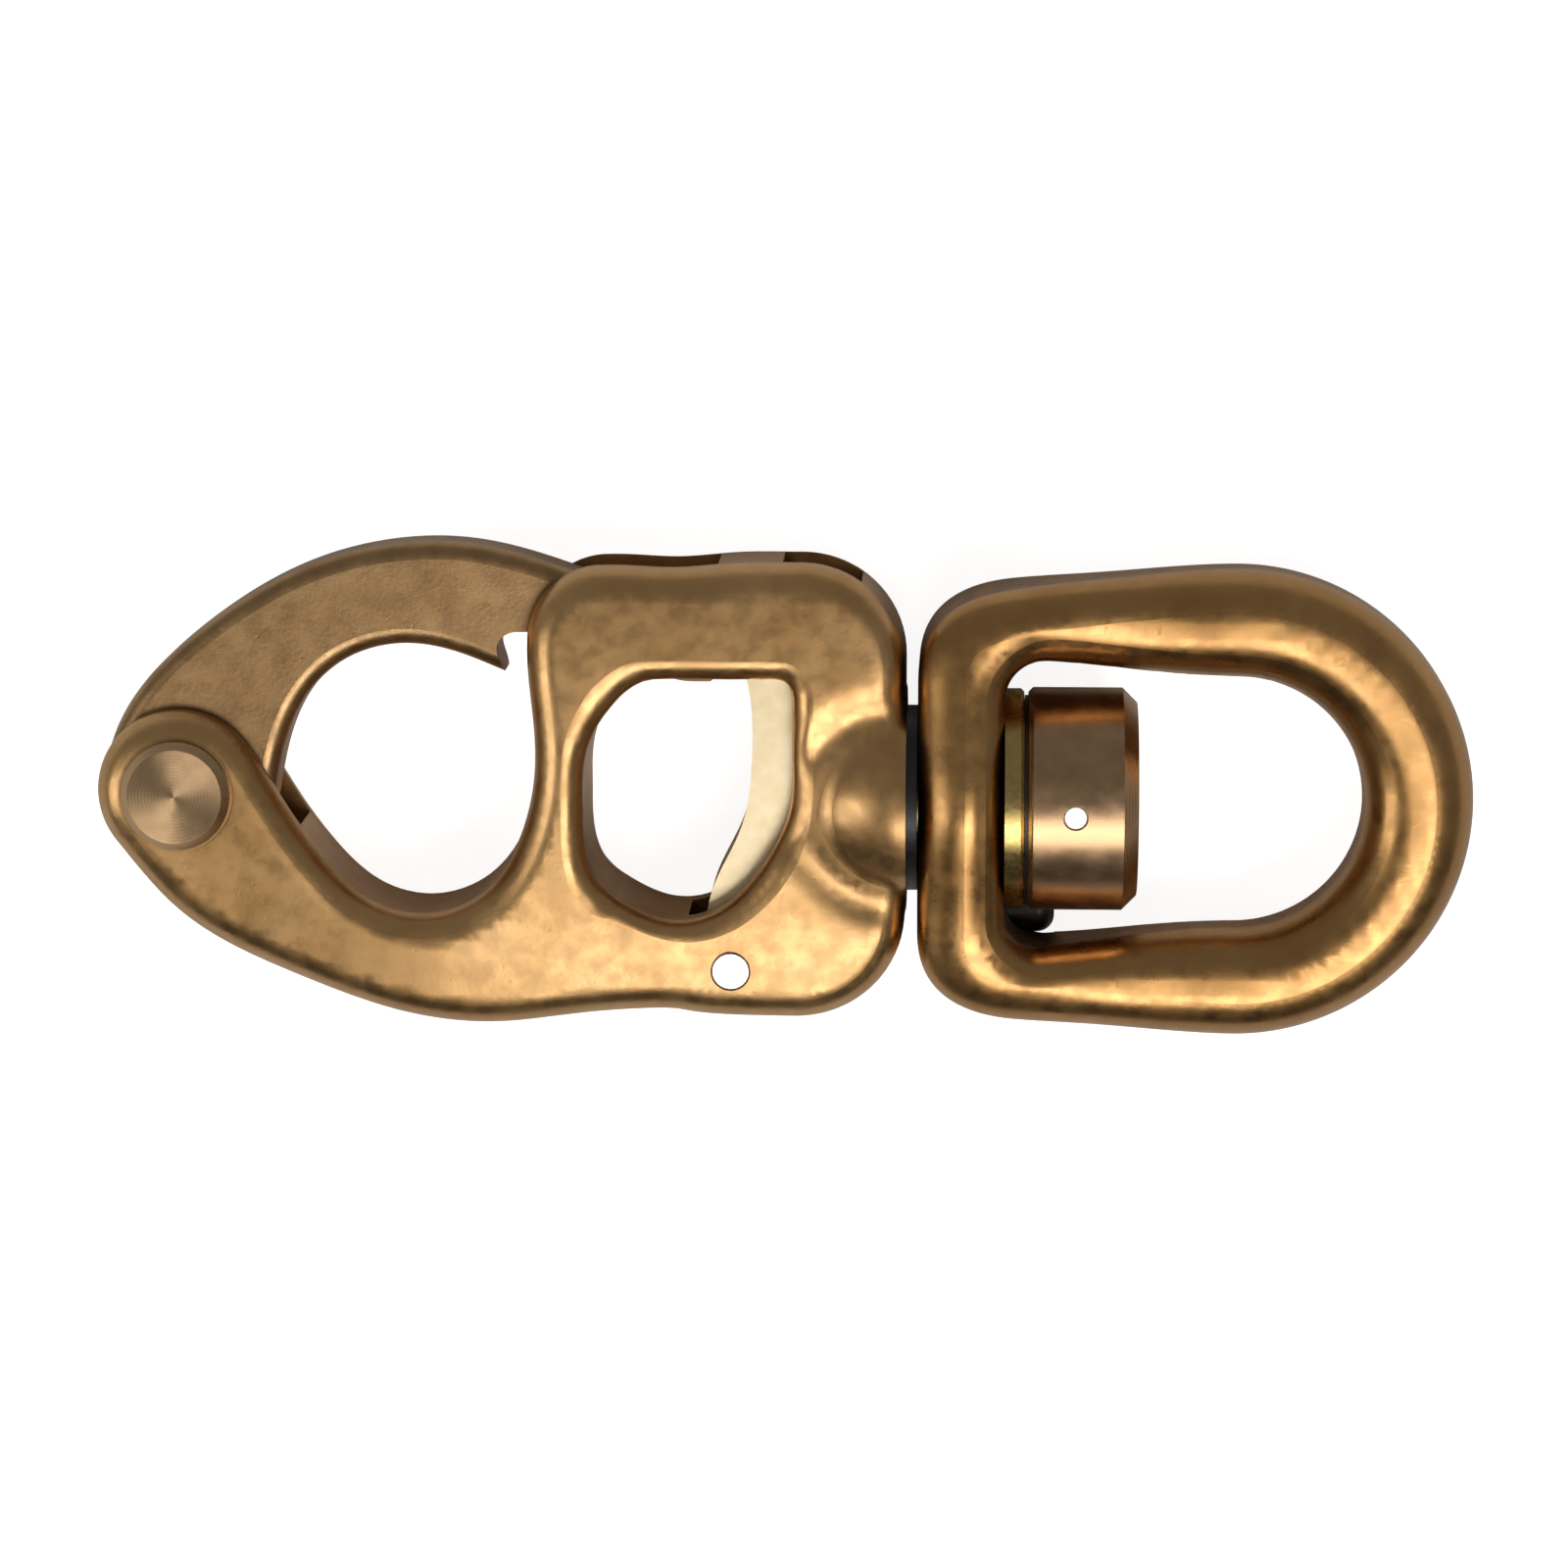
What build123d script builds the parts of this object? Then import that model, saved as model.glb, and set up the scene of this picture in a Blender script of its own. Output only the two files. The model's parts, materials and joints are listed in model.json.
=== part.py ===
"""Trigger snap shackle with a swivelling bail, closed, lying on its back.

+X runs to the bail, +Y to the top bar, +Z away from the table. All sizes are in millimetres.
"""
from math import cos, radians, sin
import os

from build123d import *

os.makedirs("parts", exist_ok=True)

# Driving dimensions
mid_z = 8.4               # height of the shackle's middle plane above the table
body_half = 6.4           # half the body's thickness at the finger hole
ear_half = 5.3            # half its thickness at the jaw's fork
edge_round = 1.6          # rolled edges of the casting
slot_half = 2.9           # half the width of the slots that hold jaw and trigger
plate_half = 2.8          # half the thickness of jaw and trigger
run_fit = 0.03            # radial clearance of everything that turns on a pin

# Axes: jaw pin and trigger pin run along Z, the swivel along X
jaw_x, jaw_y = -45.4, -0.2
trigger_x, trigger_y = -3.8, -13.3
swivel_y = -0.95

ear_radius = 6.2
fork_pocket_radius = 9.4
jaw_eye_radius = 6.0
jaw_pin_radius = 3.0
jaw_head_radius = 4.1
jaw_head_height = 1.1

trigger_eye_radius = 3.0
trigger_pin_radius = 1.5
trigger_stop_x = 5.9      # right wall of the trigger's slot

body_end_x = 9.3
boss_radius = 8.4
stud_radius = 4.5
stud_end_x = 26.3

bridge_left, bridge_right = -4.8, 0.0
bridge_under = 13.6

bail_left = 10.15         # face of the bail that looks at the body
bail_seat = 16.65         # face of the bail inside its window
bight_x = 34.05           # centre of the bail's round end
bight_outer, bight_inner = 17.75, 9.6
base_half, leg_half = 8.4, 4.6
bail_outer_round, bail_inner_round = 3.0, 2.0
bush_radius = 5.75
plug_y, plug_z = swivel_y - 9.4, mid_z - 4.7
plug_radius, plug_reach = 1.8, 3.9
flange_end_x = 18.1
flange_radius = 8.3
nut_start_x, nut_end_x = 18.42, 26.6
nut_radius = 8.4
lock_pin_x = 21.9
lock_pin_radius = 0.95

ear_front, ear_back = mid_z + ear_half, mid_z - ear_half
boss_start_x = 2.2
boss_blend = 1.5          # fillet between boss and body
jaw_round = 1.25          # rolled edges of the jaw
spring_room = 2.8         # width of the groove for the trigger's spring
coil_turns, coil_height, coil_radius = 1.75, 1.3, 2.2
wire_radius = 0.35
floor_leg, trigger_leg = 6.0, 6.6

middle = Plane.XY.offset(mid_z)
swivel_axis = Axis((0, swivel_y, mid_z), (1, 0, 0))
swivel = Plane(origin=(0, swivel_y, mid_z), x_dir=(0, 1, 0), z_dir=(1, 0, 0))


def on_circle(x, y, radius, angle):
    """Point of a circle, angle in degrees from +X."""
    return (x + radius * cos(radians(angle)), y + radius * sin(radians(angle)))


def heading(angle):
    """Direction at this many degrees from +X."""
    return (cos(radians(angle)), sin(radians(angle)))


# ---------------------------------------------------------------- body
ear_leave, ear_return = 218, 52

with BuildPart() as body:
    with BuildSketch(middle):
        with BuildLine():
            ear_low = on_circle(jaw_x, jaw_y, ear_radius, ear_leave)
            ear_high = on_circle(jaw_x, jaw_y, ear_radius, ear_return)
            CenterArc((jaw_x, jaw_y), ear_radius, ear_return, ear_leave - ear_return)
            belly = Spline(
                ear_low, (-45.6, -9.4), (-36.5, -14.4), (-29.2, -17.0), (-21.8, -17.85),
                (-14.4, -17.0), (-8.6, -16.65), (1.2, -17.2),
                tangents=[heading(ear_leave + 90), heading(0)],
            )
            heel = ThreePointArc(belly @ 1, (6.6, -15.0), (9.2, -9.6))
            back = Line(heel @ 1, (9.2, 9.4))
            shoulder = ThreePointArc(back @ 1, (7.0, 14.9), (1.0, 17.3))
            crest = Spline(
                shoulder @ 1, (-3.6, 17.25), (-8.0, 16.9), (-13.4, 17.05),
                tangents=[heading(180), heading(182)],
            )
            brow = ThreePointArc(crest @ 1, (-17.6, 15.2), (-19.05, 11.2))
            Spline(
                brow @ 1, (-18.75, 6.6), (-18.5, 2.0), (-19.5, -3.0), (-22.2, -7.4), (-26.9, -9.4),
                (-31.05, -8.4), (-34.6, -5.2), (-37.4, -1.3), ear_high,
                tangents=[heading(-92), heading(ear_return + 90)],
            )
        make_face()
    extrude(amount=body_half, both=True)

    # Finger hole: flat top, straight left side, round bottom towards the trigger's pin
    with BuildSketch(middle):
        with BuildLine():
            top_side = Line((-11.0, 8.6), (-0.3, 8.6))
            top_corner = TangentArc(top_side @ 1, (0.8, 7.5), tangent=(1, 0))
            right_side = Line(top_corner @ 1, (0.8, -1.0))
            bowl = Spline(
                right_side @ 1, (-0.3, -5.6), (-6.2, -9.3), (-12.2, -7.4), (-14.8, -1.6),
                tangents=[heading(-90), heading(90)],
            )
            left_side = Line(bowl @ 1, (-14.8, 2.0))
            Spline(left_side @ 1, (-13.7, 6.6), top_side @ 0, tangents=[heading(90), heading(0)])
        make_face()
    extrude(amount=body_half, both=True, mode=Mode.SUBTRACT)

    # Seen from the side the fork is thinner than the rest
    with BuildSketch(Plane.XZ.offset(-25)):
        with BuildLine():
            for side in (1, -1):
                Spline(
                    (-56, mid_z + side * ear_half), (-44, mid_z + side * ear_half),
                    (-28, mid_z + side * (body_half - 0.15)), (-16, mid_z + side * body_half),
                    (12, mid_z + side * body_half),
                    tangents=[(1, 0), (1, 0)],
                )
            Line((-56, mid_z - ear_half), (-56, mid_z + ear_half))
            Line((12, mid_z - body_half), (12, mid_z + body_half))
        make_face()
    extrude(amount=50, mode=Mode.INTERSECT)
    fillet(body.edges().filter_by(lambda e: abs(e.center().Z - mid_z) > 4.5), edge_round)

    # Domed boss that carries the swivel, proud of both faces
    with BuildSketch(middle):
        with BuildLine():
            dome = ThreePointArc(
                (boss_start_x, swivel_y + 5.2), (5.7, swivel_y + 7.7), (body_end_x, swivel_y + boss_radius)
            )
            Polyline(dome @ 1, (body_end_x, swivel_y), (boss_start_x, swivel_y), dome @ 0)
        make_face()
    revolve(axis=swivel_axis)
    seams = body.edges().filter_by(
        lambda e: abs(abs(e.center().Z - mid_z) - body_half) < 0.05
        and abs(e.center().Y - swivel_y) < 3
        and e.center().X > boss_start_x
    )
    fillet(seams, boss_blend)

    # Slot for the jaw's tail and the trigger, bridged on top
    with BuildSketch(middle):
        with BuildLine():
            Polyline(
                (-21, 19), (-21, 9.4), (-13.2, 9.4), (-13.2, 5), (-7.1, -6), (-7.1, trigger_y),
                (-0.5, trigger_y), (trigger_stop_x, -9.4), (trigger_stop_x, 19), close=True,
            )
        make_face()
        with Locations((trigger_x, trigger_y)):
            Circle(trigger_eye_radius + 0.3)
        with Locations(((bridge_left + bridge_right) / 2, bridge_under + 3)):
            Rectangle(bridge_right - bridge_left, 6, mode=Mode.SUBTRACT)
    extrude(amount=slot_half, both=True, mode=Mode.SUBTRACT)

    # Fork: a round pocket for the jaw's eye
    with BuildSketch(middle):
        with Locations((jaw_x, jaw_y)):
            Circle(fork_pocket_radius)
    extrude(amount=slot_half, both=True, mode=Mode.SUBTRACT)

    # Spot faces under the two heads of the jaw pin
    for face_z, reach in ((ear_front, 2), (ear_back, -2)):
        with BuildSketch(Plane.XY.offset(face_z)):
            with Locations((jaw_x, jaw_y)):
                Circle(jaw_head_radius + 0.25)
        extrude(amount=reach, mode=Mode.SUBTRACT)

    # Stud of the swivel, cross-drilled for the nut's pin
    with BuildSketch(swivel.offset(body_end_x - 1)):
        Circle(stud_radius)
    extrude(amount=stud_end_x - body_end_x + 1)
    chamfer(body.edges().group_by(Axis.X)[-1], 0.6)
    with BuildSketch(Plane.XY):
        with Locations((lock_pin_x, swivel_y)):
            Circle(lock_pin_radius)
        with Locations((jaw_x, jaw_y)):
            Circle(jaw_pin_radius)
        with Locations((trigger_x, trigger_y)):
            Circle(trigger_pin_radius)
    extrude(amount=2 * mid_z, mode=Mode.SUBTRACT)
body.part.label = "body"

# ---------------------------------------------------------------- jaw
with BuildPart() as jaw:
    with BuildSketch(middle):
        with BuildLine():
            eye_top = on_circle(jaw_x, jaw_y, jaw_eye_radius, 172)
            eye_low = on_circle(jaw_x, jaw_y, jaw_eye_radius, -70)
            CenterArc((jaw_x, jaw_y), jaw_eye_radius, 172, 118)
            brow = Spline(
                eye_top, (-49.5, 5.9), (-43.3, 12.3), (-34.3, 17.25), (-26.6, 18.6), (-19.0, 17.5),
                (-12.0, 15.0), (-7.0, 13.1),
                tangents=[heading(82), heading(-20)],
            )
            catch = Polyline(brow @ 1, (-7.0, 10.65), (-4.6, 10.65), (-4.6, 9.0), (-5.4, 8.25))
            belly = Spline(
                catch @ 1, (-8.0, 8.4), (-12.5, 11.2), (-16.5, 12.0), (-20.1, 11.9),
                tangents=[heading(180), heading(180)],
            )
            notch = Spline(belly @ 1, (-21.4, 10.9), (-20.9, 8.8), tangents=[heading(190), heading(-72)])
            Spline(
                notch @ 1, (-23.2, 9.75), (-28.3, 10.85), (-33.6, 9.2), (-36.9, 5.0), (-38.2, 0.4), eye_low,
                tangents=[heading(158), heading(200)],
            )
        make_face()
    extrude(amount=plate_half, both=True)
    rims = jaw.edges().filter_by(
        lambda e: abs(abs(e.center().Z - mid_z) - plate_half) < 0.01 and e.length > 25
    )
    fillet(rims, jaw_round)
    with BuildSketch(middle):
        with Locations((jaw_x, jaw_y)):
            Circle(jaw_pin_radius + run_fit)
    extrude(amount=plate_half, both=True, mode=Mode.SUBTRACT)
jaw.part.label = "jaw"

# ---------------------------------------------------------------- jaw pin
# A turned rivet: flat chamfered head in front, low peened head behind
with BuildPart() as jaw_pin:
    with BuildSketch(Plane.XZ.offset(-jaw_y)):
        with BuildLine():
            Polyline(
                (jaw_x, ear_back - 0.7),
                (jaw_x + 2.9, ear_back - 0.7),
                (jaw_x + 3.5, ear_back),
                (jaw_x + jaw_pin_radius, ear_back),
                (jaw_x + jaw_pin_radius, ear_front),
                (jaw_x + jaw_head_radius, ear_front),
                (jaw_x + jaw_head_radius, ear_front + 0.5),
                (jaw_x + jaw_head_radius - 0.55, ear_front + jaw_head_height),
                (jaw_x, ear_front + jaw_head_height),
                close=True,
            )
        make_face()
    revolve(axis=Axis((jaw_x, jaw_y, 0), (0, 0, 1)))
jaw_pin.part.label = "jaw_pin"

# ---------------------------------------------------------------- trigger
with BuildPart() as trigger:
    with BuildSketch(middle):
        with BuildLine():
            eye_left = on_circle(trigger_x, trigger_y, trigger_eye_radius, 150)
            eye_right = on_circle(trigger_x, trigger_y, trigger_eye_radius, 20)
            CenterArc((trigger_x, trigger_y), trigger_eye_radius, 150, 230)
            front = Spline(
                eye_left, (-5.4, -8.0), (-3.2, -3.1), (-2.3, 2.4), (-2.6, 8.0), (-3.3, 10.2), (-4.6, 10.95),
                tangents=[heading(60), heading(180)],
            )
            nose = Polyline(
                front @ 1, (-6.0, 10.95), (-6.3, 11.4), (-6.3, 12.5), (-5.5, 13.3), (0.3, 13.3), (0.3, 16.0)
            )
            spur = ThreePointArc(nose @ 1, (0.75, 16.5), (1.2, 16.0))
            Spline(
                spur @ 1, (1.7, 13.0), (2.2, 8.0), (2.3, 2.0), (1.2, -5.0), (-0.5, -10.0), eye_right,
                tangents=[heading(-86), heading(-100)],
            )
        make_face()
    extrude(amount=plate_half, both=True)
    with BuildSketch(middle):
        with Locations((trigger_x, trigger_y)):
            Circle(trigger_pin_radius + run_fit)
    extrude(amount=plate_half, both=True, mode=Mode.SUBTRACT)
    # Groove for the spring round the pin and for its leg up the trigger's back
    with BuildSketch(middle):
        with Locations((trigger_x, trigger_y)):
            Circle(trigger_eye_radius + 0.2)
        with Locations((trigger_x + coil_radius - wire_radius, trigger_y)):
            Rectangle(6, trigger_leg + 0.4, align=(Align.MIN, Align.MIN))
    extrude(amount=spring_room / 2, both=True, mode=Mode.SUBTRACT)
trigger.part.label = "trigger"

# ---------------------------------------------------------------- trigger pin
with BuildPart() as trigger_pin:
    with BuildSketch(Plane.XY.offset(mid_z - body_half + 0.05)):
        with Locations((trigger_x, trigger_y)):
            Circle(trigger_pin_radius)
    extrude(amount=2 * body_half - 0.1)
    chamfer(trigger_pin.edges().filter_by(GeomType.CIRCLE), 0.15)
trigger_pin.part.label = "trigger_pin"

# ---------------------------------------------------------------- trigger spring
# Torsion spring: one leg along the slot's floor, the other up a groove in the trigger
coil_start = Location((trigger_x, trigger_y, mid_z - coil_height / 2), (0, 0, 90))
coil = coil_start * Helix(pitch=coil_height / coil_turns, height=coil_height, radius=coil_radius)
with BuildPart() as trigger_spring:
    with BuildLine() as wire_line:
        Line(coil @ 0 - (coil % 0) * floor_leg, coil @ 0)
        add(coil)
        Line(coil @ 1, coil @ 1 + (coil % 1) * trigger_leg)
    with BuildSketch(Plane(wire_line.line @ 0, z_dir=wire_line.line % 0)):
        Circle(wire_radius)
    sweep(path=wire_line.line)
trigger_spring.part.label = "trigger_spring"

# ---------------------------------------------------------------- bail
def around_window(point):
    """True beside the bail's window, false round its outside."""
    return abs(point.Y - swivel_y) < 12 and bail_seat - 1 < point.X < bight_x + bight_inner + 1


# Upper half of the D ring with its window, mirrored about the swivel's axis
with BuildPart() as bail:
    with BuildSketch(middle):
        with BuildLine():
            base_side = Line((bail_left, swivel_y), (bail_left, swivel_y + 9.6))
            corner = Spline(
                base_side @ 1, (11.9, swivel_y + 14.2), (17.0, swivel_y + 16.3),
                tangents=[heading(90), heading(8)],
            )
            Spline(
                corner @ 1, (25.0, swivel_y + 17.1), (bight_x, swivel_y + bight_outer),
                tangents=[heading(8), heading(0)],
            )
            CenterArc((bight_x, swivel_y), bight_outer, 0, 90)
            Line((bight_x + bight_outer, swivel_y), (bail_left, swivel_y))
        make_face()
        with BuildLine():
            seat_side = Line((bail_seat, swivel_y), (bail_seat, swivel_y + 8.2))
            pocket = TangentArc(seat_side @ 1, (19.4, swivel_y + 10.9), tangent=(0, 1))
            Spline(pocket @ 1, (bight_x, swivel_y + bight_inner), tangents=[heading(-4), heading(0)])
            CenterArc((bight_x, swivel_y), bight_inner, 0, 90)
            Line((bight_x + bight_inner, swivel_y), (bail_seat, swivel_y))
        make_face(mode=Mode.SUBTRACT)
        mirror(about=Plane.XZ.offset(-swivel_y))
    extrude(amount=base_half + 1, both=True)

    # Seen from the side the bored base is deeper than the legs and the bight
    with BuildSketch(Plane.XZ.offset(-25)):
        with BuildLine():
            for side in (1, -1):
                Spline(
                    (8, mid_z + side * base_half), (13.5, mid_z + side * (base_half - 0.1)),
                    (18.4, mid_z + side * 6.7), (24, mid_z + side * (leg_half + 0.3)),
                    (31, mid_z + side * leg_half), (54, mid_z + side * leg_half),
                    tangents=[(1, 0), (1, 0)],
                )
            Line((8, mid_z - base_half), (8, mid_z + base_half))
            Line((54, mid_z - leg_half), (54, mid_z + leg_half))
        make_face()
    extrude(amount=50, mode=Mode.INTERSECT)
    rims = bail.edges().filter_by(lambda e: abs(e.center().Z - mid_z) > 4)
    fillet(rims.filter_by(lambda e: not around_window(e.center())), bail_outer_round)
    rims = bail.edges().filter_by(lambda e: abs(e.center().Z - mid_z) > 4)
    fillet(rims.filter_by(lambda e: around_window(e.center())), bail_inner_round)
    with BuildSketch(swivel.offset(bail_left)):
        Circle(bush_radius)
    extrude(amount=bail_seat - bail_left, mode=Mode.SUBTRACT)
    with BuildSketch(Plane.YZ.offset(bail_seat)):
        with Locations((plug_y, plug_z)):
            Circle(plug_radius)
    extrude(amount=plug_reach, mode=Mode.SUBTRACT)
bail.part.label = "bail"

# ---------------------------------------------------------------- bail bush
with BuildPart() as bail_bush:
    with BuildSketch(swivel.offset(bail_left)):
        Circle(bush_radius)
    extrude(amount=bail_seat - bail_left)
    with BuildSketch(swivel.offset(bail_seat)):
        Circle(flange_radius)
    extrude(amount=flange_end_x - bail_seat)
    chamfer(bail_bush.edges().group_by(Axis.X)[-1], 0.25)
    with BuildSketch(swivel.offset(bail_left)):
        Circle(stud_radius + run_fit)
    extrude(amount=flange_end_x - bail_left, mode=Mode.SUBTRACT)
bail_bush.part.label = "bail_bush"

# ---------------------------------------------------------------- swivel washers
with BuildPart() as body_washer:
    with BuildSketch(swivel.offset(body_end_x)):
        Circle(7.0)
        Circle(stud_radius, mode=Mode.SUBTRACT)
    extrude(amount=bail_left - 0.05 - body_end_x)
body_washer.part.label = "body_washer"

with BuildPart() as nut_washer:
    with BuildSketch(swivel.offset(flange_end_x + 0.05)):
        Circle(7.8)
        Circle(stud_radius, mode=Mode.SUBTRACT)
    extrude(amount=nut_start_x - flange_end_x - 0.05)
nut_washer.part.label = "nut_washer"

# ---------------------------------------------------------------- swivel nut
with BuildPart() as swivel_nut:
    with BuildSketch(swivel.offset(nut_start_x)):
        Circle(nut_radius)
    extrude(amount=nut_end_x - nut_start_x)
    chamfer(swivel_nut.edges().group_by(Axis.X)[-1], 1.1)
    chamfer(swivel_nut.edges().group_by(Axis.X)[0], 0.35)
    with BuildSketch(swivel.offset(nut_start_x)):
        Circle(stud_radius)
    extrude(amount=nut_end_x - nut_start_x, mode=Mode.SUBTRACT)
    with BuildSketch(Plane.XY.offset(mid_z - nut_radius)):
        with Locations((lock_pin_x, swivel_y)):
            Circle(lock_pin_radius)
    extrude(amount=2 * nut_radius, mode=Mode.SUBTRACT)
swivel_nut.part.label = "swivel_nut"

with BuildPart() as nut_pin:
    with BuildSketch(Plane.XY.offset(mid_z - nut_radius + 0.1)):
        with Locations((lock_pin_x, swivel_y)):
            Circle(lock_pin_radius)
    extrude(amount=2 * nut_radius - 0.2)
    chamfer(nut_pin.edges().filter_by(GeomType.CIRCLE), 0.15)
nut_pin.part.label = "nut_pin"

# ---------------------------------------------------------------- bail plug
with BuildPart() as bail_plug:
    with BuildSketch(Plane.YZ.offset(bail_seat)):
        with Locations((plug_y, plug_z)):
            Circle(plug_radius)
    extrude(amount=plug_reach)
    fillet(bail_plug.edges().group_by(Axis.X)[-1], 1.3)
bail_plug.part.label = "bail_plug"

pieces = (
    body, jaw, jaw_pin, trigger, trigger_pin, bail, bail_bush, body_washer, nut_washer, swivel_nut,
    nut_pin, bail_plug, trigger_spring,
)
for piece in pieces:
    export_step(piece.part, f"parts/{piece.part.label}.step")
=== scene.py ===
import json
import math

import bpy
import numpy as np
from mathutils import Matrix, Vector
from mathutils.bvhtree import BVHTree


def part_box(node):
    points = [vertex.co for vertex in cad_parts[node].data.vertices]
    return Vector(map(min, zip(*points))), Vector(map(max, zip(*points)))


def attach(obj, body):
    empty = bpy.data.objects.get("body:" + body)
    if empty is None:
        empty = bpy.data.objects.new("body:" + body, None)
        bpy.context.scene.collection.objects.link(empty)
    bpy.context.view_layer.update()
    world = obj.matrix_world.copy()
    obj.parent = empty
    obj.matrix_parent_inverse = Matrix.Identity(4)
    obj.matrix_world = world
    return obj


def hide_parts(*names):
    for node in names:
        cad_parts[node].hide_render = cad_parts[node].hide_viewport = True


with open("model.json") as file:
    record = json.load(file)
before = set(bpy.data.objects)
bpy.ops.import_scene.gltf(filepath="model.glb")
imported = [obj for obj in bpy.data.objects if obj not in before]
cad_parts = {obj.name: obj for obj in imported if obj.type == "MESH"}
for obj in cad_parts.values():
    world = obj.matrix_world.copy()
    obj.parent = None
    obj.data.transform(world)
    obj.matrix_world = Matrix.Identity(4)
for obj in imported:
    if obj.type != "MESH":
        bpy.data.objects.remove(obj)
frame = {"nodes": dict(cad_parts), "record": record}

MM = 0.001

# Where the CAD solids are and how large, in millimetres. The name "half" stands for a distance
# from the middle plane, "across" for one from the plane through the swivel axis.
MID_Z, SWIVEL_Y = 8.4, -0.95
JAW_PIN, TRIGGER_PIN = (-45.4, -0.2), (-3.8, -13.3)
JAW_PIN_REACH, TRIGGER_PIN_REACH = 4.6, 2.2        # the pins' bores lie within this of their axes
HOLE_CENTRE = (-7.0, -0.4)
BODY_ROLL = 1.6
BASE_BACK, BASE_FRONT = 10.15, 16.65               # faces of the bail's base, at right angles to x
BASE_ACROSS, BASE_END = 9.4, 17.5                  # the base reaches this far
BAIL_OUTER_ROLL, BAIL_INNER_ROLL = 3.0, 2.0
BAIL_SIDE_X = (8, 13.5, 18.4, 24, 31, 54)
BAIL_SIDE_HALF = (8.4, 8.3, 6.7, 4.9, 4.6, 4.6)
WINDOW_ACROSS, WINDOW_X = 12, (15.6, 44.7)         # the bail's window lies within these
CORNER_X, CORNER_ACROSS, CORNER_RADIUS = 19.38, 8.2, 2.73
BORE_X = (10.5, 16.5)                              # walls of the bail's bore lie between these

# What the real castings have instead, in millimetres
CROWN_RADIUS = 145
REAL_BODY_ROLL = 2.3
HOLLOW_X, HOLLOW_RADIUS, HOLLOW_WIDTH, HOLLOW_DEPTH = 8.5, 7.2, 1.5, 0.5
HOLE_FADE = 2.2                                    # how far from the hole its shape is felt
HOLE_RADII = (                                     # from the hole's centre, every 10 degrees
    7.69, 7.92, 8.3, 9.01, 10.18, 11.49, 10.51, 9.68, 9.24, 9.1, 9.24, 9.49,
    9.33, 9.0, 8.75, 8.49, 8.21, 7.97, 7.85, 7.97, 8.32, 8.79, 9.19, 9.26,
    9.22, 9.27, 9.3, 9.17, 8.88, 8.47, 8.04, 7.68, 7.47, 7.4, 7.43, 7.53,
)
HUB_ACROSS = (0, 2.6, 5, 8, 11, 14, 18)
HUB_HALF = (8.4, 8.13, 7.6, 6.95, 6.45, 6.15, 6.0)
LEG_HALF = 4.65
REAL_BAIL_ROLL, ROUND_END_EXTRA = 3.0, 0.6
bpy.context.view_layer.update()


# ---------------------------------------------------------------- nodes of a material

def socket(node, name):
    """The enabled input of that name."""
    return next(s for s in node.inputs if s.name == name and s.enabled)


def fill_ramp(bar, stops):
    """Puts (place, colour) stops in a colour ramp."""
    while len(bar.elements) < len(stops):
        bar.elements.new(0.5)
    for element, (place, colour) in zip(bar.elements, stops):
        element.position = place
        element.color = (*colour, 1)


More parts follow.
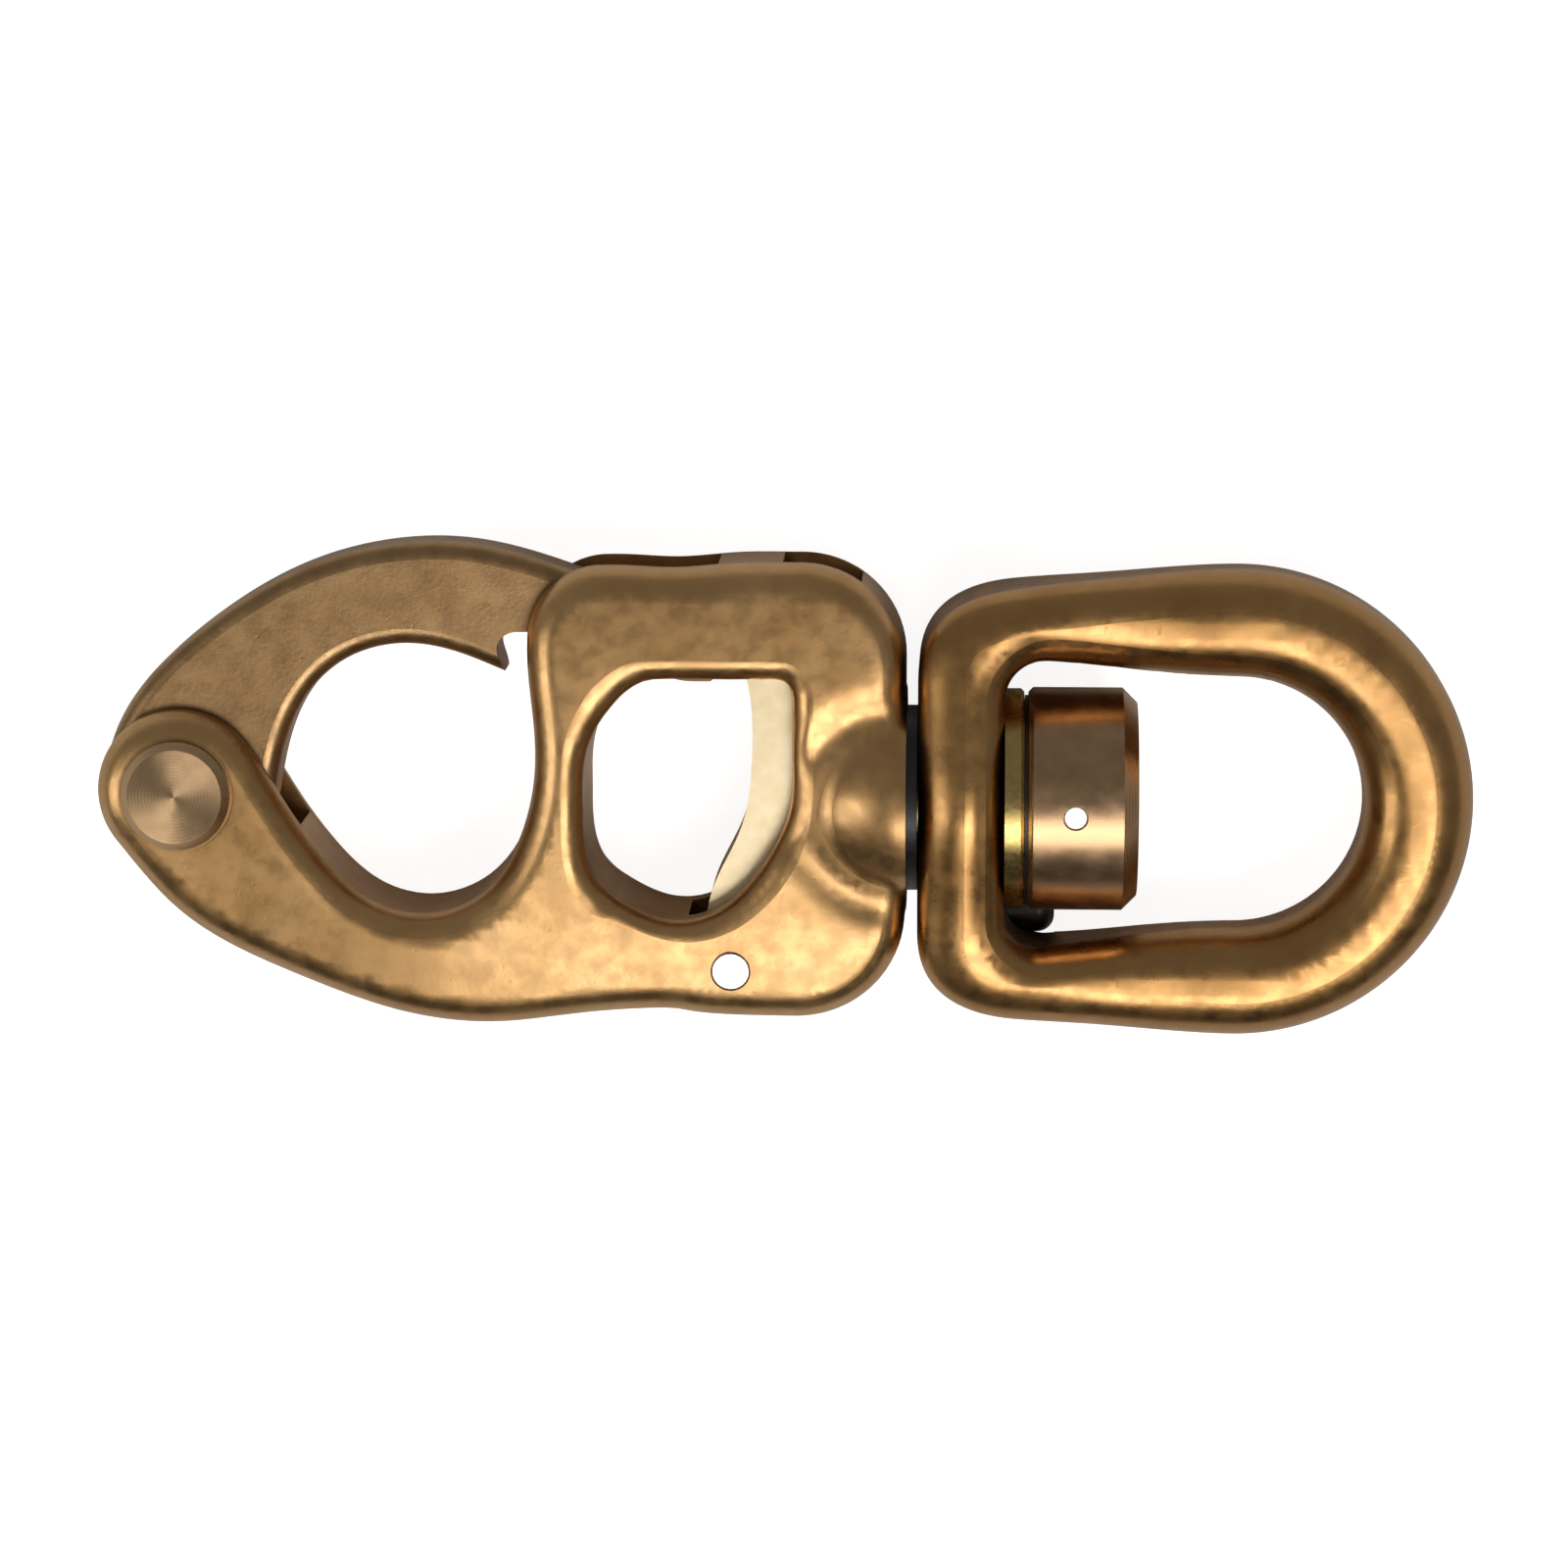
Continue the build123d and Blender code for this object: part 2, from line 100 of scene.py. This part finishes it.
class Surface:
    """A Principled material whose colour, roughness and bump come from nodes."""

    def __init__(self, name, metallic=1.0, **constants):
        self.material = bpy.data.materials.new(name)
        self.material.use_nodes = True
        self.tree = self.material.node_tree
        self.shader = self.tree.nodes["Principled BSDF"]
        self.shader.inputs["Metallic"].default_value = metallic
        for key, value in constants.items():
            self.shader.inputs[key.replace("_", " ")].default_value = value
        self.place = self.node("ShaderNodeTexCoord").outputs["Object"]

    def node(self, kind, **settings):
        made = self.tree.nodes.new(kind)
        for key, value in settings.items():
            setattr(made, key, value)
        return made

    def link(self, source, target):
        self.tree.links.new(source, target)

    def noise(self, size, detail=3.0):
        """Noise whose blotches are about size metres across."""
        made = self.node("ShaderNodeTexNoise")
        made.inputs["Scale"].default_value = 1 / size
        made.inputs["Detail"].default_value = detail
        made.inputs["Roughness"].default_value = 0.55
        self.link(self.place, made.inputs["Vector"])
        return made.outputs["Fac"]

    def ramp(self, source, low, high, low_value, high_value):
        """A number that goes from low_value to high_value as source goes from low to high."""
        made = self.node("ShaderNodeMapRange", interpolation_type="SMOOTHSTEP")
        made.inputs["From Min"].default_value = low
        made.inputs["From Max"].default_value = high
        made.inputs["To Min"].default_value = low_value
        made.inputs["To Max"].default_value = high_value
        self.link(source, made.inputs["Value"])
        return made.outputs["Result"]

    def colours(self, source, stops):
        """A colour from a list of (place, colour) stops."""
        made = self.node("ShaderNodeValToRGB")
        fill_ramp(made.color_ramp, stops)
        self.link(source, made.inputs["Fac"])
        return made.outputs["Color"]

    def mix(self, share, first, second):
        """first and second are colours or sockets, mixed by share, a number or a socket."""
        made = self.node("ShaderNodeMix", data_type="RGBA")
        for name, value in (("Factor", share), ("A", first), ("B", second)):
            target = socket(made, name)
            if isinstance(value, bpy.types.NodeSocket):
                self.link(value, target)
            elif name == "Factor":
                target.default_value = value
            else:
                target.default_value = (*value, 1)
        return next(s for s in made.outputs if s.enabled)

    def crevices(self, distance):
        """1 on open surfaces, down to 0 deep in corners."""
        made = self.node("ShaderNodeAmbientOcclusion", samples=16)
        made.inputs["Distance"].default_value = distance
        return made.outputs["AO"]

    def bump(self, heights):
        """heights is a list of (socket, depth in metres), added up one on the other."""
        normal = None
        for source, depth in heights:
            made = self.node("ShaderNodeBump")
            made.inputs["Strength"].default_value = 1.0
            made.inputs["Distance"].default_value = depth
            self.link(source, made.inputs["Height"])
            if normal is not None:
                self.link(normal, made.inputs["Normal"])
            normal = made.outputs["Normal"]
        self.link(normal, self.shader.inputs["Normal"])

    def finish(self, colour, roughness):
        self.link(colour, self.shader.inputs["Base Color"])
        self.link(roughness, self.shader.inputs["Roughness"])
        return self.material


# ---------------------------------------------------------------- the finishes

WAVE_AT_SCALE_1 = 0.314      # metres between the crests of a wave texture of scale 1


def bronze_casting(name, light, mid, dark, shine, blotch, grain, pits):
    """Cast and tumbled bronze: cloudy colour, fine grain, small pits, and painted shade darkening its
    corners.
    """
    s = Surface(name, Coat_Weight=0.25, Coat_Roughness=0.2, Coat_IOR=1.6)
    clouds = s.noise(blotch, detail=5.0)
    colour = s.colours(clouds, [(0.30, dark), (0.50, mid), (0.72, light)])
    # Painted shade: ambient occlusion darkens the colour towards a third of mid in corners and creases;
    # the small dark pits below take the same dark colour
    corners = s.ramp(s.crevices(2.2 * MM), 0.25, 0.95, 0.0, 1.0)
    shade_and_speck_colour = tuple(0.34 * c for c in mid)
    colour = s.mix(corners, shade_and_speck_colour, colour)
    specks = s.noise(0.45 * MM, detail=2.0)
    colour = s.mix(s.ramp(specks, 0.68, 0.76, 0.0, 0.1), colour, shade_and_speck_colour)
    roughness = s.ramp(s.noise(1.6 * MM, detail=4.0), 0.3, 0.7, shine - 0.05, shine + 0.07)
    s.bump([
        (s.noise(6.0 * MM, detail=1.0), 0.03 * MM),
        (s.noise(0.35 * MM, detail=3.0), grain),
        (s.ramp(specks, 0.66, 0.72, 1.0, 0.0), pits),
    ])
    return s.finish(colour, roughness)


def turned_metal(name, dark, light, shine, axis, pitch, node):
    """Turned metal: fine tool rings round the node's axis, which stretch the gloss across them."""
    s = Surface(name, Anisotropic=0.7)
    tangent = s.node("ShaderNodeTangent", direction_type="RADIAL", axis=axis)
    s.link(tangent.outputs["Tangent"], s.shader.inputs["Tangent"])
    low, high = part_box(node)
    shift = s.node("ShaderNodeMapping")
    shift.inputs["Location"].default_value = [-(a + b) / 2 for a, b in zip(low, high)]
    s.link(s.place, shift.inputs["Vector"])
    if axis == "X":                # bands along the axis make the rings on a cylinder's side
        rings = s.node("ShaderNodeTexWave", wave_type="BANDS", bands_direction=axis)
    else:
        rings = s.node("ShaderNodeTexWave", wave_type="RINGS", rings_direction=axis)
    rings.inputs["Scale"].default_value = WAVE_AT_SCALE_1 / pitch
    rings.inputs["Distortion"].default_value = 0.6
    rings.inputs["Detail"].default_value = 1.0
    s.link(shift.outputs["Vector"], rings.inputs["Vector"])
    clouds = s.noise(1.5 * MM, detail=3.0)
    colour = s.colours(clouds, [(0.3, dark), (0.7, light)])
    roughness = s.ramp(clouds, 0.3, 0.7, shine - 0.02, shine + 0.03)
    s.bump([(rings.outputs["Fac"], 0.0012 * MM)])
    return s.finish(colour, roughness)


def plain_metal(name, dark, light, shine):
    """Brushed or drawn metal with faint clouds and scratches."""
    s = Surface(name)
    clouds = s.noise(1.2 * MM, detail=4.0)
    colour = s.colours(clouds, [(0.3, dark), (0.7, light)])
    roughness = s.ramp(s.noise(0.5 * MM), 0.3, 0.7, shine - 0.04, shine + 0.06)
    s.bump([(s.noise(0.2 * MM, detail=2.0), 0.002 * MM)])
    return s.finish(colour, roughness)


def moulded(name, dark, light, shine):
    """Black moulded plastic or rubber with a fine grain."""
    s = Surface(name, metallic=0.0)
    clouds = s.noise(1.0 * MM, detail=3.0)
    colour = s.colours(clouds, [(0.3, dark), (0.7, light)])
    roughness = s.ramp(clouds, 0.3, 0.7, shine - 0.05, shine + 0.05)
    s.bump([(s.noise(0.15 * MM, detail=2.0), 0.004 * MM)])
    return s.finish(colour, roughness)


def finishes():
    """Each material slot of the record with its finish."""
    return {
        "cast_bronze": bronze_casting(
            "cast_bronze", (0.70, 0.42, 0.18), (0.64, 0.375, 0.15), (0.57, 0.32, 0.12),
            shine=0.35, blotch=5 * MM, grain=0.006 * MM, pits=0.003 * MM),
        "jaw_bronze": bronze_casting(
            "jaw_bronze", (0.52, 0.32, 0.145), (0.45, 0.27, 0.12), (0.37, 0.215, 0.09),
            shine=0.37, blotch=2.6 * MM, grain=0.012 * MM, pits=0.005 * MM),
        "bail_bronze": bronze_casting(
            "bail_bronze", (0.58, 0.32, 0.115), (0.52, 0.28, 0.095), (0.46, 0.24, 0.078),
            shine=0.31, blotch=7 * MM, grain=0.004 * MM, pits=0.001 * MM),
        "turned_bronze": turned_metal(
            "turned_bronze", (0.60, 0.39, 0.21), (0.66, 0.44, 0.24),
            shine=0.30, axis="Z", pitch=0.25 * MM, node="jaw_pin"),
        "turned_nut": turned_metal(
            "turned_nut", (0.48, 0.30, 0.16), (0.56, 0.36, 0.20),
            shine=0.24, axis="X", pitch=0.22 * MM, node="swivel_nut"),
        "trigger_gold": plain_metal("trigger_gold", (0.86, 0.70, 0.42), (0.94, 0.79, 0.54), 0.36),
        "bright_steel": plain_metal("bright_steel", (0.72, 0.71, 0.70), (0.86, 0.86, 0.86), 0.30),
        "spring_steel": plain_metal("spring_steel", (0.40, 0.40, 0.40), (0.55, 0.55, 0.54), 0.30),
        "bush_brass": plain_metal("bush_brass", (0.50, 0.36, 0.12), (0.62, 0.46, 0.17), 0.26),
        "black_polymer": moulded("black_polymer", (0.010, 0.009, 0.009), (0.020, 0.018, 0.017), 0.38),
        "black_rubber": moulded("black_rubber", (0.012, 0.012, 0.012), (0.028, 0.027, 0.026), 0.35),
    }


def dress_nodes():
    """Gives every CAD node the finish of its slot in the record."""
    made = finishes()
    for entry in frame["record"]["subparts"]:
        finish = made[entry["material_slot"]]
        if entry["node"] == "swivel_nut":
            finish = made["turned_nut"]
        slots = frame["nodes"][entry["node"]].data.materials
        slots.clear()
        slots.append(finish)


# ---------------------------------------------------------------- sculpted forms of the castings

RIM_LEVEL = 3.4        # above the middle plane, clear of the body's slots and rolled edges
UPRIGHT = 0.05         # largest z of the normals of an upright wall
TOUCH = 1e-4           # a plane this close to a triangle's last corner doesn't split it
MERGE_DIGITS = 2       # corners that agree to 0.01 mm are one point
NUDGE = 0.01           # step, in millimetres, for the slopes of a form


def hermite(at, knots, values):
    """A smooth curve through the knots, level beyond its ends."""
    knots, values = np.asarray(knots, float), np.asarray(values, float)
    slopes = np.gradient(values, knots)
    slopes[0] = slopes[-1] = 0.0
    at = np.clip(at, knots[0], knots[-1])
    piece = np.clip(np.searchsorted(knots, at, side="right") - 1, 0, len(knots) - 2)
    span = knots[piece + 1] - knots[piece]
    t = (at - knots[piece]) / span
    first = values[piece] * (1 + 2 * t) * (1 - t) ** 2 + slopes[piece] * span * t * (1 - t) ** 2
    last = values[piece + 1] * t ** 2 * (3 - 2 * t) + slopes[piece + 1] * span * t ** 2 * (t - 1)
    return first + last


def step_up(low, high, value):
    """0 below low, 1 above high, smooth between them."""
    t = np.clip((value - low) / (high - low), 0.0, 1.0)
    return t * t * (3 - 2 * t)


def rolled(rim, radius):
    """How far a rolled edge of that radius lies under the face, at that distance from the rim."""
    rim = np.clip(rim, 0.02, radius)
    return radius - np.sqrt(radius ** 2 - (radius - rim) ** 2)


def corners_of(node):
    """The triangles of a CAD node: the place, in millimetres, and the normal of each corner."""
    mesh = frame["nodes"][node].data
    mesh.calc_loop_triangles()
    count = 3 * len(mesh.loop_triangles)
    loops, points = np.empty(count, np.int32), np.empty(count, np.int32)
    mesh.loop_triangles.foreach_get("loops", loops)
    mesh.loop_triangles.foreach_get("vertices", points)
    places = np.empty(3 * len(mesh.vertices), np.float32)
    mesh.vertices.foreach_get("co", places)
    normals = np.empty(3 * len(mesh.loops), np.float32)
    mesh.corner_normals.foreach_get("vector", normals)
    places = places.reshape(-1, 3).astype(float)[points] / MM
    normals = normals.reshape(-1, 3).astype(float)[loops]
    return np.hstack((places, normals)).reshape(-1, 3, 6)


def surface_tree(triangles):
    """A search tree of these triangles."""
    places = triangles[:, :, :3].reshape(-1, 3)
    return BVHTree.FromPolygons(places.tolist(), np.arange(len(places)).reshape(-1, 3).tolist())


def cut(corners, axis, spacing):
    """Splits the triangles along planes at right angles to the axis.

    A corner is a row of six numbers, its place and its normal.
    """
    first = math.ceil(corners[:, :, axis].min() / spacing)
    last = math.floor(corners[:, :, axis].max() / spacing)
    for level in np.arange(first, last + 1) * spacing:
        side = corners[:, :, axis] - level
        crossed = (side.min(axis=1) < -TOUCH) & (side.max(axis=1) > TOUCH)
        side, split = side[crossed], corners[crossed]
        # Turn each triangle so that the corner alone on its side of the plane comes first
        above = side > 0
        lone = np.argmax(above == (above.sum(axis=1) == 1)[:, None], axis=1)
        order = (lone[:, None] + np.arange(3)) % 3
        rows = np.arange(len(order))[:, None]
        side, split = side[rows, order], split[rows, order]
        a, b, c = split[:, 0], split[:, 1], split[:, 2]
        on_ab = a + (side[:, 0] / (side[:, 0] - side[:, 1]))[:, None] * (b - a)
        on_ac = a + (side[:, 0] / (side[:, 0] - side[:, 2]))[:, None] * (c - a)
        parts = [(a, on_ab, on_ac), (on_ab, b, c), (on_ab, c, on_ac)]
        corners = np.concatenate([corners[~crossed]] + [np.stack(part, axis=1) for part in parts])
    return corners


def rim_distance(points, corners, level, wanted):
    """Distance in plan from each point to the walls, its gradient and the nearest places.

    The walls are the wanted upright triangles that cross that level above the middle plane.
    """
    height = corners[:, :, 2] - MID_Z
    upright = np.abs(corners[:, :, 5]).max(axis=1) < UPRIGHT
    crossing = (height.min(axis=1) <= level) & (height.max(axis=1) >= level)
    centres = corners[:, :, :3].mean(axis=1)
    tree = surface_tree(corners[upright & crossing & wanted(centres[:, 0], centres[:, 1])])
    nearest = np.empty_like(points)
    for i, (x, y, _) in enumerate(points):
        nearest[i] = tree.find_nearest((x, y, MID_Z + level))[0]
    away = points[:, :2] - nearest[:, :2]
    distance = np.linalg.norm(away, axis=1)
    gradient = np.zeros_like(points)
    gradient[:, :2] = away / np.maximum(distance, 1e-6)[:, None]
    return distance, gradient, nearest


def sculpted(node, body, spacing, level, wanted, form):
    """Makes a piece that stands for a CAD node, its surface moved by form(points, rim, nearest).

    The CAD normals are turned by the slopes of form, so that they stay smooth.
    """
    solid = corners_of(node)
    corners = cut(cut(solid, 0, spacing), 1, spacing)
    places = corners[:, :, :3].reshape(-1, 3)
    _, first, index = np.unique(
        np.round(places, MERGE_DIGITS), axis=0, return_index=True, return_inverse=True)
    points, faces = places[first], index.reshape(-1, 3)
    whole = (faces != np.roll(faces, 1, axis=1)).all(axis=1)
    faces, normals = faces[whole], corners[whole, :, 3:].reshape(-1, 3)
    rim, gradient, nearest = rim_distance(points, solid, level, wanted)
    slopes = np.empty((len(points), 3, 3))
    for axis in range(3):
        shift = np.zeros(3)
        shift[axis] = NUDGE
        ahead = form(points + shift, rim + NUDGE * gradient[:, axis], nearest)
        behind = form(points - shift, rim - NUDGE * gradient[:, axis], nearest)
        slopes[:, :, axis] = (ahead - behind) / (2 * NUDGE)
    turn = np.linalg.inv(slopes).transpose(0, 2, 1)
    normals = np.einsum("nij,nj->ni", turn[faces.ravel()], normals)
    normals /= np.linalg.norm(normals, axis=1)[:, None]
    mesh = bpy.data.meshes.new(node + "_sculpted")
    mesh.from_pydata((form(points, rim, nearest) * MM).tolist(), [], faces.tolist())
    mesh.normals_split_custom_set(normals.tolist())
    mesh.materials.append(frame["nodes"][node].data.materials[0])
    piece = bpy.data.objects.new(node + "_sculpted", mesh)
    bpy.context.scene.collection.objects.link(piece)
    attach(piece, body)
    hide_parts(node)


def distance_to(axis, x, y):
    """Distance in plan from an upright axis."""
    return np.hypot(x - axis[0], y - axis[1])


def hole_angle(x, y):
    """The angle round the finger hole's centre, in degrees."""
    return np.degrees(np.arctan2(y - HOLE_CENTRE[1], x - HOLE_CENTRE[0])) % 360


def around(angle, radii):
    """A radius at that angle, from a list of radii that goes once round."""
    pitch = 360 / len(radii)
    knots = pitch * np.arange(-1, len(radii) + 2)
    return hermite(angle, knots, [radii[-1], *radii, radii[0], radii[1]])


def cad_hole_radii(level):
    """The finger hole's radius in the CAD body, every degree."""
    tree = surface_tree(corners_of("body"))
    centre = Vector((*HOLE_CENTRE, MID_Z + level))
    ways = [Vector((math.cos(math.radians(a)), math.sin(math.radians(a)), 0)) for a in range(360)]
    return [tree.ray_cast(centre, way)[3] for way in ways]


def half_height(points):
    """Distance from the middle plane."""
    return np.abs(points[:, 2] - MID_Z)


def raised(points, height):
    """The same places, at that height above or below the middle plane."""
    moved = points.copy()
    moved[:, 2] = MID_Z + np.sign(points[:, 2] - MID_Z) * height
    return moved


def clear_of_slots(height):
    """0 where the slots for jaw and trigger are, 1 from the rolled edges outwards."""
    return np.clip((height - 2.95) / 1.8, 0, 1)


def crown(y):
    """How far the body's crowned face lies lower there than at its middle."""
    return y ** 2 / (2 * CROWN_RADIUS)


def trigger_pin_form(points, _rim, _nearest):
    """Ends of the pin flush with the crowned faces."""
    height = half_height(points)
    return raised(points, height - clear_of_slots(height) * crown(points[:, 1]))


def body_form(points, rim, _nearest, cad_hole):
    """Crowned faces, a fuller roll round the outside, a hollow round the boss, a rounder hole."""
    x, y = points[:, 0], points[:, 1]
    height = half_height(points)
    boss = (1 - step_up(6.5, 9.0, np.abs(y - SWIVEL_Y))) * step_up(-1.0, 2.0, x)
    fuller = (rolled(rim, REAL_BODY_ROLL) - rolled(rim, BODY_ROLL)) * (1 - boss)
    from_ring = distance_to((HOLLOW_X, SWIVEL_Y), x, y) - HOLLOW_RADIUS
    hollow = HOLLOW_DEPTH * np.exp(-(from_ring / HOLLOW_WIDTH) ** 2)
    hollow *= 1 - step_up(6.45, 7.2, height)       # the boss stands higher and keeps its dome
    moved = raised(points, height - clear_of_slots(height) * (crown(y) + fuller + hollow))
    reach, angle = np.maximum(distance_to(HOLE_CENTRE, x, y), 1.0), hole_angle(x, y)
    edge = around(angle, cad_hole)
    grown = (around(angle, HOLE_RADII) - edge) * np.exp(-((reach - edge) / HOLE_FADE) ** 2)
    moved[:, 0] += grown * np.cos(np.radians(angle))
    moved[:, 1] += grown * np.sin(np.radians(angle))
    return moved


def bail_form(points, rim, nearest):
    """A bulge round the bore, and legs and a round end with a rounder section."""
    x, across = points[:, 0], np.abs(points[:, 1] - SWIVEL_Y)
    height = half_height(points)
    # Bore and plug hole break up the walls of the base, so its rims are worked out instead
    in_base = (across < BASE_ACROSS) & (x < BASE_END)
    to_corner = distance_to((CORNER_X, CORNER_ACROSS), x, across) - CORNER_RADIUS
    to_window = np.where(across < CORNER_ACROSS, BASE_FRONT - x, to_corner)
    to_back = x - BASE_BACK
    rim = np.where(in_base, np.minimum(to_back, to_window), rim)
    wall_x, wall_across = nearest[:, 0], np.abs(nearest[:, 1] - SWIVEL_Y)
    at_window = (wall_across < WINDOW_ACROSS) & (wall_x > WINDOW_X[0]) & (wall_x < WINDOW_X[1])
    at_window = np.where(in_base, to_window < to_back, at_window)
    cad_half = hermite(x, BAIL_SIDE_X, BAIL_SIDE_HALF)
    hub = hermite(across, HUB_ACROSS, HUB_HALF) - LEG_HALF
    real_half = LEG_HALF + hub * (1 - step_up(14, 26, x))
    off_bore = np.where(x > BASE_END, 1.0, step_up(5.6, 7.0, np.hypot(across, height)))
    scaled = height * (1 + off_bore * (real_half / cad_half - 1))
    wall_half = np.maximum(real_half - np.where(at_window, BAIL_INNER_ROLL, BAIL_OUTER_ROLL), 0.5)
    roll = REAL_BAIL_ROLL + ROUND_END_EXTRA * step_up(24, 34, x)
    cad_drop = np.where(at_window, rolled(rim, BAIL_INNER_ROLL), rolled(rim, BAIL_OUTER_ROLL))
    fuller = np.maximum(rolled(rim, roll) - cad_drop, 0)
    return raised(points, scaled - off_bore * np.clip(scaled / wall_half, 0, 1) * fuller)


def sculpt():
    """Gives body, bail and trigger pin the crowned and rolled surfaces that their solids lack."""
    cad_hole = cad_hole_radii(RIM_LEVEL)

    def body_outside(x, y):
        in_hole = distance_to(HOLE_CENTRE, x, y) < around(hole_angle(x, y), cad_hole) + 0.3
        at_jaw_pin = distance_to(JAW_PIN, x, y) < JAW_PIN_REACH
        at_trigger_pin = distance_to(TRIGGER_PIN, x, y) < TRIGGER_PIN_REACH
        return ~(in_hole | at_jaw_pin | at_trigger_pin)

    def off_bail_bore(x, y):
        return ~((x > BORE_X[0]) & (x < BORE_X[1]) & (np.abs(y - SWIVEL_Y) < WINDOW_ACROSS))

    def anywhere(x, _y):
        return np.full(len(x), True)

    sculpted("body", "body", 0.8, RIM_LEVEL, body_outside, lambda *given: body_form(*given, cad_hole))
    sculpted("bail", "bail", 1.0, 0.0, off_bail_bore, bail_form)
    sculpted("trigger_pin", "body", 1.2, 0.0, anywhere, trigger_pin_form)


# ---------------------------------------------------------------- floor, lights and camera

FLOOR_GLOW = 0.88                        # only the camera sees it, the object isn't lit by it
CAMERA_SIDE, CAMERA_RISE = math.radians(2.2), math.radians(10.1)
CAMERA_DISTANCE, CAMERA_LENS = 0.386, 117.2         # in metres and in millimetres
LAMP_DISTANCE = 0.90
KEY_COLOUR, LEFT_COLOUR = (1.0, 0.985, 0.97), (1.0, 0.99, 0.97)
ROOM_GREYS = ((0.0, 0.03), (0.22, 0.05), (0.45, 0.16), (1.0, 0.20))      # from -y to +y


def floor():
    """A pale floor: white to the camera, with the object's own soft shadow."""
    bpy.ops.mesh.primitive_plane_add(size=3.0, location=(0, 0, 0))
    plane = bpy.context.object
    plane.name = "floor"
    material = bpy.data.materials.new("floor")
    material.use_nodes = True
    tree = material.node_tree
    shader = tree.nodes["Principled BSDF"]
    shader.inputs["Base Color"].default_value = (0.86, 0.86, 0.86, 1)
    shader.inputs["Roughness"].default_value = 0.9
    shader.inputs["Specular IOR Level"].default_value = 0.1
    path = tree.nodes.new("ShaderNodeLightPath")
    lift = tree.nodes.new("ShaderNodeMath")
    lift.operation = "MULTIPLY"
    lift.inputs[1].default_value = FLOOR_GLOW
    tree.links.new(path.outputs["Is Camera Ray"], lift.inputs[0])
    shader.inputs["Emission Color"].default_value = (1, 1, 1, 1)
    tree.links.new(lift.outputs[0], shader.inputs["Emission Strength"])
    plane.data.materials.append(material)


def soft_box(name, direction, width, height, power, colour):
    """A rectangular lamp that faces the middle of the object from that direction."""
    lamp = bpy.data.lights.new(name, "AREA")
    lamp.shape = "RECTANGLE"
    lamp.size = width
    lamp.size_y = height
    lamp.energy = power
    lamp.color = colour
    made = bpy.data.objects.new(name, lamp)
    bpy.context.scene.collection.objects.link(made)
    way = Vector(direction).normalized()
    made.location = way * LAMP_DISTANCE
    made.rotation_mode = "QUATERNION"
    made.rotation_quaternion = way.to_track_quat("Z", "Y")


def lights():
    """A bright box above the lower edge of the picture, a weaker one on the left, a dim room."""
    soft_box("key", (0.20, -0.37, 0.91), width=0.62, height=0.38, power=3.05, colour=KEY_COLOUR)
    soft_box("left", (-0.78, -0.14, 0.61), width=0.34, height=0.50, power=1.3, colour=LEFT_COLOUR)
    world = bpy.data.worlds.new("room")
    world.use_nodes = True
    bpy.context.scene.world = world
    tree = world.node_tree
    direction = tree.nodes.new("ShaderNodeTexCoord").outputs["Generated"]
    parts = tree.nodes.new("ShaderNodeSeparateXYZ")
    tree.links.new(direction, parts.inputs["Vector"])
    share = tree.nodes.new("ShaderNodeMapRange")
    share.inputs["From Min"].default_value = -1.0
    share.inputs["From Max"].default_value = 1.0
    tree.links.new(parts.outputs["Y"], share.inputs["Value"])
    walls = tree.nodes.new("ShaderNodeValToRGB")
    fill_ramp(walls.color_ramp, [(place, (grey, grey, grey)) for place, grey in ROOM_GREYS])
    tree.links.new(share.outputs["Result"], walls.inputs["Fac"])
    tree.links.new(walls.outputs["Color"], tree.nodes["Background"].inputs["Color"])
    tree.nodes["Background"].inputs["Strength"].default_value = 1.0


def camera():
    """Looks down on the object, a little from the side of the trigger slot."""
    level = math.cos(CAMERA_RISE)
    back = Vector((math.sin(CAMERA_SIDE) * level, math.sin(CAMERA_RISE), math.cos(CAMERA_SIDE) * level))
    aim = Vector((0, 0, MID_Z * MM))
    data = bpy.data.cameras.new("camera")
    data.sensor_width = 36
    data.lens = CAMERA_LENS
    data.clip_start = 0.01
    data.clip_end = 20
    made = bpy.data.objects.new("camera", data)
    bpy.context.scene.collection.objects.link(made)
    right = Vector((0, 1, 0)).cross(back).normalized()
    up = back.cross(right)
    turn = Matrix((right, up, back)).transposed().to_4x4()
    made.matrix_world = Matrix.Translation(aim + back * CAMERA_DISTANCE) @ turn
    bpy.context.scene.camera = made


bpy.context.scene.view_settings.view_transform = "Standard"
dress_nodes()
sculpt()
floor()
lights()
camera()
